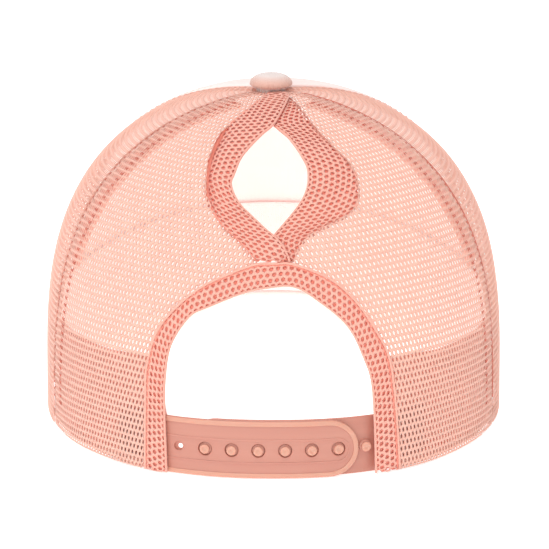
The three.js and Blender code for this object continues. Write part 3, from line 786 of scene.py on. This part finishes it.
for name, side in (("left", 1), ("right", -1)):
    slope = np.linspace(slope_at_down(tape_top), slope_at_down(back_length - band_width - 3), 90)
    shares = np.array([0, 0.04, 0.1, 0.3, 0.5, 0.7, 0.9, 0.96, 1.0])
    swell = np.array([0.3, 0.85, 1, 1, 1, 1, 1, 0.85, 0.3])[None, :]
    azimuth = beside_seam(side, slope[:, None], -0.25 + tape_width * shares[None, :])
    slopes = slope[:, None] + 0 * azimuth
    outer = cloth_point(azimuth, slopes, tape_lift + 0.4 * swell)
    inner = cloth_point(azimuth, slopes, tape_lift - 0.4 * swell)
    points, faces = closed_sheet(outer, inner)
    flat = np.stack([azimuth * crown_half_width, np.degrees(slopes) * 1.9], -1).reshape(-1, 2)
    tape = make_piece(f"seam_tape_{name}", points, faces, np.tile(flat, (2, 1)))
    tape.data.materials.append(tape_finish)
    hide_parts(f"side_seam_tape_{name}")
    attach(tape, "root")

    rows = []
    slope = np.linspace(slope_at_down(tape_top + 2), math.radians(89), 260)
    for distance, thickness in ((10.0, 0.55), (8.6, 0.3), (1.4, 0.35)):
        line = crown_line(beside_seam(side, slope, distance), slope, 0.05)
        rows.append(thread_stitches(*line, 2.6, 1.3, thickness))
    seam_rows = make_piece(f"side_seam_stitches_{name}", *joined(rows))
    seam_rows.data.materials.append(dark_thread_and_shade)
    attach(seam_rows, "root")

# Painted shade: a fine dark tube along the right side seam, where the side net tucks under the back net and
# shade falls between the two nets.
slope = np.linspace(slope_at_down(16), math.radians(89), 260)
shade_line_points, shade_line_faces = tube_along(*crown_line(beside_seam(-1, slope, 0), slope, -0.1), 0.42, 0.3)
seam_shade_tube = make_piece("side_seam_painted_shade_right", shade_line_points, shade_line_faces)
seam_shade_tube.data.materials.append(dark_thread_and_shade)
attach(seam_shade_tube, "root")

# Sweatband: a cotton twill strip 38 mm tall inside the rim, pink towards the cap and undyed towards the
# head, turned over at its top edge and sewn to the rim below. Its ends pass behind the roots of the strap
# and stop behind the hem of the arch, the left one cut at a slant.
band_start_low = 22.7
band_start_high = 30.0
band_end = 334.8
band_lift = -2.9
band_thickness = 1.5
band_shares = rolled_shares(14, 0.05)
band_columns = rolled_shares(150, 0.004)
band_start = band_start_low + (band_start_high - band_start_low) * band_shares[:, None]
band_angle = band_start + (band_end - band_start) * band_columns[None, :]
band_azimuth = np.radians(band_angle)
band_step = 2.6 * (1 - smooth_step(np.minimum(band_angle, 360 - band_angle), 38, 46))


def wall_point(azimuth, height, lift):
    """A point of the crown's wall at a real height, moved in or out level."""
    rim = rim_height(azimuth)
    rise = np.clip((height - rim) / (crown_top - rim), 0, 1)
    slope = np.arccos(rise ** (upward_power(azimuth) / 2))
    point = cloth_point(azimuth, slope, lift)
    point[..., 2] = height
    return point


band_height = rim_height(band_azimuth) + seam_gap + band_width * band_shares[:, None]
band_round = edge_round(band_shares, 0.05)[:, None] * edge_round(band_columns, 0.004)[None, :]
channel = 0.25 * np.exp(-((band_shares[:, None] - 0.88) / 0.025) ** 2)
band_hollow = 0.5 * (1 - band_round) + channel
outer = wall_point(band_azimuth, band_height, band_lift - band_step - band_hollow)
inner = wall_point(band_azimuth, band_height, band_lift - band_thickness - band_step + band_hollow)
points, faces = closed_sheet(outer, inner)
flat = np.stack([band_azimuth * 90, band_height], -1).reshape(-1, 2)
sweatband = make_piece("sweatband_twill", points, faces, np.tile(flat, (2, 1)))
# Its faint coral glow is painted light.
band_finish, tree, shader = start_finish("cotton_twill", {
    "Roughness": 0.85, "Sheen Weight": 0.3, "Specular IOR Level": 0.3,
    "Emission Color": linear("#e2705b"), "Emission Strength": 0.12})
cloth = weave_bump(tree, shader, 0.8, 0.5)
mottled(tree, shader, cloth, "#f2b3a0", "#eba391", 10)

# The undyed side of the twill, cream-white and matt, with a faint glow of painted light.
undyed_finish, tree, shader = start_finish("undyed_cotton_twill", {
    "Roughness": 0.9, "Sheen Weight": 0.2, "Specular IOR Level": 0.2,
    "Emission Color": linear("#f4f4ff"), "Emission Strength": 0.18})
cloth = weave_bump(tree, shader, 0.8, 0.4)
mottled(tree, shader, cloth, "#fff9f3", "#fdf2ea", 10)
sweatband.data.materials.append(band_finish)
sweatband.data.materials.append(undyed_finish)
band_quads = (len(band_shares) - 1) * (len(band_columns) - 1)
sweatband.data.polygons.foreach_set("material_index", [
    1 if index >= band_quads else 0 for index in range(len(faces))])
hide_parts("sweatband")
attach(sweatband, "root")

# Its turned top edge is held by one row of dark thread.
edge_azimuth = np.radians(np.linspace(32, 328, 900))
edge_height = rim_height(edge_azimuth) + band_width - 0.6
edge_line = wall_point(edge_azimuth, edge_height, np.full(900, band_lift + 0.15))
edge_out = wall_point(edge_azimuth, edge_height, np.full(900, band_lift + 1.15)) - edge_line
band_stitches = make_piece("sweatband_edge_stitches", *thread_stitches(edge_line, edge_out, 2.4, 1.4, 0.5))
band_stitches.data.materials.append(dark_thread_and_shade)
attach(band_stitches, "root")

# Peak: a curved board between two layers of cloth, its edge turned over and held by rows of stitches
# that follow it. Its root is sewn under the front rim.
peak_half_angle = 68.0
peak_half_width = 83.0
peak_reach = 126.0
peak_root_line = -42.0
peak_side_height = 3.0
peak_arch = 13.0
peak_thickness = 3.0
peak_power = 0.92
peak_edge_turn = np.array([0, 0, 1.1])
peak_turn = np.sin(np.linspace(-0.5, 0.5, 161) * math.pi)
peak_rows = rolled_shares(40, 0.03)
turn = peak_turn[None, :] + 0 * peak_rows[:, None]
root_azimuth = math.pi - turn * math.radians(peak_half_angle)
peak_root = cloth_point(root_azimuth, np.full(root_azimuth.shape, math.pi / 2), -1.8 + 0 * turn)
peak_root[..., 2] = rim_height(root_azimuth) - seam_gap
swing = turn * math.pi / 2
edge_x = peak_half_width * signed_power(np.sin(swing), peak_power)
edge_y = peak_root_line - peak_reach * np.maximum(np.cos(swing), 0) ** peak_power
edge_z = peak_side_height + peak_arch * (1 - (edge_x / peak_half_width) ** 2)
peak_edge = np.stack([edge_x, edge_y, edge_z], -1)
top_face = peak_root + (peak_edge - peak_root) * peak_rows[:, None, None]
peak_round = edge_round(peak_rows, 0.03)[:, None] * edge_round((peak_turn + 1) / 2, 0.004)[None, :]
outer = top_face - peak_edge_turn * (1 - peak_round)[..., None]
inner = top_face - (0, 0, peak_thickness) + peak_edge_turn * (1 - peak_round)[..., None]
points, faces = closed_sheet(outer, inner)
flat = top_face[..., :2].reshape(-1, 2)
peak = make_piece("peak_cloth_cover", points, faces, np.tile(flat, (2, 1)))
peak_finish, tree, shader = start_finish("twill_over_board", {
    "Roughness": 0.85, "Sheen Weight": 0.3, "Specular IOR Level": 0.3})
cloth = weave_bump(tree, shader, 0.9, 0.4)
mottled(tree, shader, cloth, "#f2c4b3", "#eab5a2", 14)
peak.data.materials.append(peak_finish)

# The sweatband is folded round the peak's root, so the root's end is covered in its undyed side.
peak.data.materials.append(undyed_finish)
peak_columns = len(peak_turn) - 1
row_of_face = np.arange(len(faces)) // peak_columns % (len(peak_rows) - 1)
peak.data.polygons.foreach_set("material_index", [1 if row < 3 else 0 for row in row_of_face])
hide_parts("peak")
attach(peak, "root")

# Six rows of stitches follow the edge, on the upper and the lower cloth.
rows = []
length = np.linalg.norm(peak_edge[0] - peak_root[0], axis=1)
for inset in (3, 9, 15, 21, 27, 33):
    held = length > inset + 6
    share = 1 - inset / length[held][:, None]
    line = peak_root[0][held] + (peak_edge[0] - peak_root[0])[held] * share
    for face, height in ((1, 0.08), (-1, -peak_thickness - 0.08)):
        up = np.tile([0.0, 0.0, float(face)], (len(line), 1))
        rows.append(thread_stitches(line + [0, 0, height], up, 3.2, 2.2, 0.45))
peak_rows_of_thread = make_piece("peak_stitches", *joined(rows))
peak_rows_of_thread.data.materials.append(seam_thread)
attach(peak_rows_of_thread, "root")

# Snap strap: two halves moulded from soft pink plastic, satin with rounded edges. The outer half has a
# raised lip, a lane down its middle and holes, and the inner half's pegs snap through them.
strap_height = 20.2
snap_middle = 9.9
snap_places = [24 - 9.35 * index for index in range(6)] + [-32.4]
free_hole = 33.35
strap_tip = -29.8
turned_sides = 32


def rounded_bar(tip, far_end, bottom, top):
    """Outline of a bar with one round end."""
    radius = (top - bottom) / 2
    way = math.copysign(1, tip - far_end)
    angles = np.linspace(-math.pi / 2, math.pi / 2, 25)
    arc = np.stack([tip - way * radius + way * radius * np.cos(angles),
                    bottom + radius + radius * np.sin(angles)], -1)
    return np.vstack([[far_end, bottom], arc, [far_end, top]])


def circle(across, height, radius):
    angles = np.linspace(0, 2 * math.pi, turned_sides, endpoint=False)
    return np.stack([across + radius * np.cos(angles), height + radius * np.sin(angles)], -1)


def moulded_plate(name, loops, back, front, rounding):
    """A flat plate inside the first loop with the others as holes, its edges rounded."""
    curve = bpy.data.curves.new(name, "CURVE")
    curve.dimensions = "2D"
    curve.fill_mode = "BOTH"
    curve.extrude = (front - back) / 2 - rounding
    curve.bevel_depth = rounding
    curve.bevel_resolution = 2
    curve.offset = -rounding
    for loop in loops:
        spline = curve.splines.new("POLY")
        spline.points.add(len(loop) - 1)
        flat = np.column_stack([loop, np.zeros(len(loop)), np.ones(len(loop))])
        spline.points.foreach_set("co", flat.ravel())
        spline.use_cyclic_u = True
    shape = bpy.data.objects.new(name, curve)
    bpy.context.scene.collection.objects.link(shape)
    graph = bpy.context.evaluated_depsgraph_get()
    mesh = bpy.data.meshes.new_from_object(shape.evaluated_get(graph))
    bpy.data.objects.remove(shape)
    solid = bmesh.new()
    solid.from_mesh(mesh)
    bmesh.ops.remove_doubles(solid, verts=solid.verts, dist=1e-3)
    bmesh.ops.translate(solid, verts=solid.verts, vec=(0, 0, (front + back) / 2))
    bmesh.ops.recalc_face_normals(solid, faces=solid.faces)
    solid.to_mesh(mesh)
    solid.free()
    plate = bpy.data.objects.new(name, mesh)
    bpy.context.scene.collection.objects.link(plate)
    return plate


def turned_faces(rows, sides):
    """Faces of a turned shape with rows of points all round it, closed at both ends."""
    faces = []
    for start in range(0, (rows - 1) * sides, sides):
        for k in range(sides):
            ahead = (k + 1) % sides
            faces.append([start + k, start + ahead, start + sides + ahead, start + sides + k])
    last = (rows - 1) * sides
    return faces + [list(range(sides - 1, -1, -1)), [last + k for k in range(sides)]]


def turned_peg(name, across, profile):
    """A round peg from a profile of radius and depth."""
    angles = np.linspace(0, 2 * math.pi, turned_sides, endpoint=False)
    profile = np.array(profile)
    points = np.stack([across + profile[:, None, 0] * np.cos(angles),
                       snap_middle + profile[:, None, 0] * np.sin(angles),
                       profile[:, None, 1] + 0 * angles], -1).reshape(-1, 3)
    mesh = bpy.data.meshes.new(name)
    mesh.from_pydata(points.tolist(), [], turned_faces(len(profile), turned_sides))
    peg = bpy.data.objects.new(name, mesh)
    bpy.context.scene.collection.objects.link(peg)
    return peg


def bent_strap(name, plate, extras, is_painted_paler):
    """Fuses the extras to a plate, bends the flat strap onto the crown's wall and marks the faces painted
    paler for light.
    """
    for extra in extras:
        fuse = plate.modifiers.new("fuse", "BOOLEAN")
        fuse.operation = "UNION"
        fuse.solver = "EXACT"
        fuse.object = extra
    graph = bpy.context.evaluated_depsgraph_get()
    mesh = bpy.data.meshes.new_from_object(plate.evaluated_get(graph))
    for extra in [plate, *extras]:
        bpy.data.objects.remove(extra)
    solid = bmesh.new()
    solid.from_mesh(mesh)
    for across in np.arange(-58, 59, 2.0):
        geometry = solid.verts[:] + solid.edges[:] + solid.faces[:]
        bmesh.ops.bisect_plane(solid, geom=geometry, plane_co=(across, 0, 0), plane_no=(1, 0, 0))
    solid.to_mesh(mesh)
    solid.free()
    flat = np.empty(len(mesh.vertices) * 3, np.float32)
    mesh.vertices.foreach_get("co", flat)
    flat = flat.reshape(-1, 3).astype(float)
    centres = np.array([flat[list(face.vertices)].mean(axis=0) for face in mesh.polygons])
    spread = 1 - outer_face / crown_half_width
    azimuth = azimuth_at_across(flat[:, 0] * spread, np.full(len(flat), math.pi / 2))
    points = (wall_point(azimuth, flat[:, 1], flat[:, 2]) + cap_shift) / 1000
    mesh.vertices.foreach_set("co", points.astype(np.float32).ravel())
    mesh.shade_smooth()
    mesh.set_sharp_from_angle(angle=math.radians(40))
    strap = bpy.data.objects.new(name, mesh)
    bpy.context.scene.collection.objects.link(strap)
    mesh.materials.append(snap_plastic)
    mesh.materials.append(painted_pale_plastic)
    mesh.polygons.foreach_set("material_index", is_painted_paler(centres).astype(int).tolist())
    return strap


# Injection-moulded soft polyethylene: satin, slightly see-through at its thin edges, with faint flow marks
# along its length and a faint painted coral glow.
def moulded_finish(name, light, dark, spread):
    material, tree, shader = start_finish(name, {
        "Roughness": 0.42, "IOR": 1.5, "Specular IOR Level": 0.45, "Subsurface Weight": spread,
        "Subsurface Radius": (1.0, 0.4, 0.3), "Subsurface Scale": 0.0015,
        "Emission Color": linear("#e2705b"), "Emission Strength": 0.06})
    place = add_node(tree, "ShaderNodeTexCoord")
    along = add_node(tree, "ShaderNodeMapping", {"Vector": place.outputs["Object"],
                                                 "Scale": (0.12, 0.12, 2)})
    noise = add_node(tree, "ShaderNodeTexNoise", {"Vector": along.outputs["Vector"], "Scale": 160.0,
                                                  "Detail": 3.0})
    tinted(tree, shader, noise, light, dark)
    bump = add_node(tree, "ShaderNodeBump", {"Height": noise.outputs["Fac"], "Strength": 0.12,
                                             "Distance": 0.0004})
    tree.links.new(bump.outputs["Normal"], shader.inputs["Normal"])
    return material


snap_plastic = moulded_finish("moulded_polyethylene", "#ba8474", "#aa7264", 0.15)

# The same plastic in the lip and the pegs, painted paler there for the light that falls on these raised
# parts and passes through them.
painted_pale_plastic = moulded_finish("moulded_polyethylene_painted_paler", "#c69581", "#ba8874", 0.3)

outer_face = -2.2
strap_thickness = 1.2
lip_width = 1.8
outer_holes = [circle(across, snap_middle, 2.35) for across in snap_places[:6]]
outer_holes.append(circle(free_hole, snap_middle, 1.6))
outer_plate = moulded_plate("outer_plate", [rounded_bar(strap_tip, 55.0, 0, strap_height)] + outer_holes,
                            outer_face - strap_thickness, outer_face, 0.3)
lip = moulded_plate("lip", [rounded_bar(strap_tip, 54.0, 0.02, strap_height - 0.02),
                            rounded_bar(strap_tip + lip_width, 53.0, lip_width, strap_height - lip_width)],
                    outer_face - 0.7, outer_face + 0.4, 0.38)
web = moulded_plate("web", [circle(free_hole, snap_middle, 1.75),
                            circle(free_hole - 0.4, snap_middle - 0.1, 0.85)],
                    outer_face - 1.15, outer_face - 0.95, 0.05)
lane = moulded_plate("lane", [rounded_bar(-26.9, 53.5, 5.1, 13.9), rounded_bar(-26.2, 52.5, 5.8, 13.2)],
                     outer_face - 0.6, outer_face + 0.2, 0.15)
strap_outer = bent_strap("snap_strap_outer_half", outer_plate, [lip, lane, web],
                         lambda centre: centre[:, 2] > outer_face + 0.22)
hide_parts("snap_strap_outer")
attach(strap_outer, "root")

inner_face = outer_face - strap_thickness - seam_gap
inner_plate = moulded_plate("inner_plate", [rounded_bar(30.6, -55.0, 0, strap_height)],
                            inner_face - strap_thickness, inner_face, 0.25)
peg_profile = [(2.15, inner_face - 0.5), (2.15, outer_face - 0.55), (1.65, outer_face - 0.4),
               (1.65, outer_face + 0.3), (1.68, outer_face + 0.55),
               (1.58, outer_face + 0.78), (1.3, outer_face + 0.9), (0.9, outer_face + 0.88),
               (0.5, outer_face + 0.72), (0.2, outer_face + 0.62)]
pegs = [turned_peg(f"peg_{index}", across, peg_profile) for index, across in enumerate(snap_places)]
strap_inner = bent_strap("snap_strap_inner_half", inner_plate, pegs,
                         lambda centre: centre[:, 2] > outer_face + 0.1)
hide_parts("snap_strap_inner")
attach(strap_inner, "root")

# Top button: a pressed metal dome covered in the cap's cloth, which is gathered in small folds under its
# edge. Its shank is riveted through the top of the crown.
button_seat = (0.9, 7.0, 120.9)
button_radius = 7.8
button_height = 5.2
button_rim = 1.4
shank_radius = 5.2
button_sides = 144
angles = np.linspace(0, 2 * math.pi, button_sides, endpoint=False)
rise = np.radians(np.array([-90, -90, -90, -60, -35, -12, 0, 10, 20, 32, 45, 58, 70, 80, 87]))
reach = button_radius * np.where(rise < 0, 1 - 0.22 * np.sin(-rise) ** 2, np.cos(rise) ** 0.8)
height = np.where(rise < 0, button_rim * (1 + np.sin(rise)),
                  button_rim + (button_height - button_rim) * np.sin(rise))
reach[:2] = shank_radius
height[:2] = [-2.6, -0.05]
gather = 0.16 * np.exp(-((np.degrees(rise) + 20) / 22) ** 2)[:, None] * np.cos(angles * 24)
radius = reach[:, None] + gather
points = np.stack([button_seat[0] + radius * np.cos(angles), button_seat[1] + radius * np.sin(angles),
                   button_seat[2] + height[:, None] + 0 * angles], -1).reshape(-1, 3)
flat = np.stack([radius * np.cos(angles), radius * np.sin(angles)], -1).reshape(-1, 2)
button = make_piece("covered_button", points, turned_faces(len(rise), button_sides), flat)

# The cloth of the cap over metal: matt, and painted paler towards the top of the dome, for the light falling
# on it from above.
button_finish, tree, shader = start_finish("cloth_covered_metal", {
    "Roughness": 0.75, "Sheen Weight": 0.5, "Sheen Roughness": 0.4, "Specular IOR Level": 0.35})
cloth = weave_bump(tree, shader, 0.8, 0.45)
tint = mottled(tree, shader, cloth, "#cfa596", "#c8998a", 5)
middle = add_node(tree, "ShaderNodeVectorMath", {0: cloth.outputs["Vector"]}, operation="LENGTH")
top_light_share = add_node(tree, "ShaderNodeMapRange", {
    "Value": middle.outputs["Value"], "From Min": button_radius / 1000, "From Max": 0.0045})
painted_top_light = add_node(tree, "ShaderNodeMix", {"Factor": top_light_share.outputs["Result"], "A": tint.outputs["Result"],
                                         "B": linear("#d6c6c1")}, data_type="RGBA")
tree.links.new(painted_top_light.outputs["Result"], shader.inputs["Base Color"])
button.data.materials.append(button_finish)
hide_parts("top_button")
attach(button, "root")

# Floor: a pale studio table of white acrylic that is softly lit from below, so that it prints as white
# and lights the inside of the cap.
floor_mesh = bpy.data.meshes.new("floor")
rim_angles = np.linspace(0, 2 * math.pi, 64, endpoint=False)
floor_corners = [(4 * math.cos(angle), 4 * math.sin(angle), -0.0004) for angle in rim_angles]
floor_mesh.from_pydata(floor_corners, [], [list(range(64))])
floor = bpy.data.objects.new("floor", floor_mesh)
bpy.context.scene.collection.objects.link(floor)
paper, tree, shader = start_finish("lit_white_acrylic", {
    "Roughness": 1.0, "Specular IOR Level": 0.0, "Emission Color": linear("#ffffff"),
    "Emission Strength": 0.62})
noise = add_node(tree, "ShaderNodeTexNoise", {"Scale": 3.0})
tinted(tree, shader, noise, "#f7f7f7", "#f5f5f5")
floor.data.materials.append(paper)

# Light: a white room and two wide soft lamps, one over the camera and one above.
world = bpy.data.worlds.new("white_room")
bpy.context.scene.world = world
world.use_nodes = True
world.node_tree.nodes["Background"].inputs["Color"].default_value = linear("#ffffff")
world.node_tree.nodes["Background"].inputs["Strength"].default_value = 0.77
bpy.context.scene.view_settings.view_transform = "Standard"


def soft_lamp(name, spot, aim, size, power):
    """A square soft lamp at a spot, turned to what it lights."""
    lamp = bpy.data.lights.new(name, "AREA")
    lamp.size = size
    lamp.energy = power
    holder = bpy.data.objects.new(name, lamp)
    bpy.context.scene.collection.objects.link(holder)
    holder.location = spot
    holder.rotation_euler = (Vector(aim) - Vector(spot)).to_track_quat("-Z", "Y").to_euler()
    return holder


soft_lamp("overhead", (0.3, 0.5, 2.2), (0, 0, 0), 1.2, 24)
soft_lamp("over_camera", (0.7, 2.5, 1.1), (0, 0, 0.05), 1.4, 21)

# Camera: behind the cap and a little above it, as in the photograph.
camera_data = bpy.data.cameras.new("camera")
camera_data.sensor_width = 36
camera_data.lens = 210.45
camera_data.shift_x = 0.0018
camera_data.shift_y = -0.0577
camera = bpy.data.objects.new("camera", camera_data)
bpy.context.scene.collection.objects.link(camera)
elevation = math.radians(14.27)
distance = 1.2
aim = Vector((0, 0.0349, 0.06))
camera.location = aim + Vector((0, distance * math.cos(elevation), distance * math.sin(elevation)))
camera.rotation_euler = (aim - camera.location).to_track_quat("-Z", "Y").to_euler()
bpy.context.scene.camera = camera
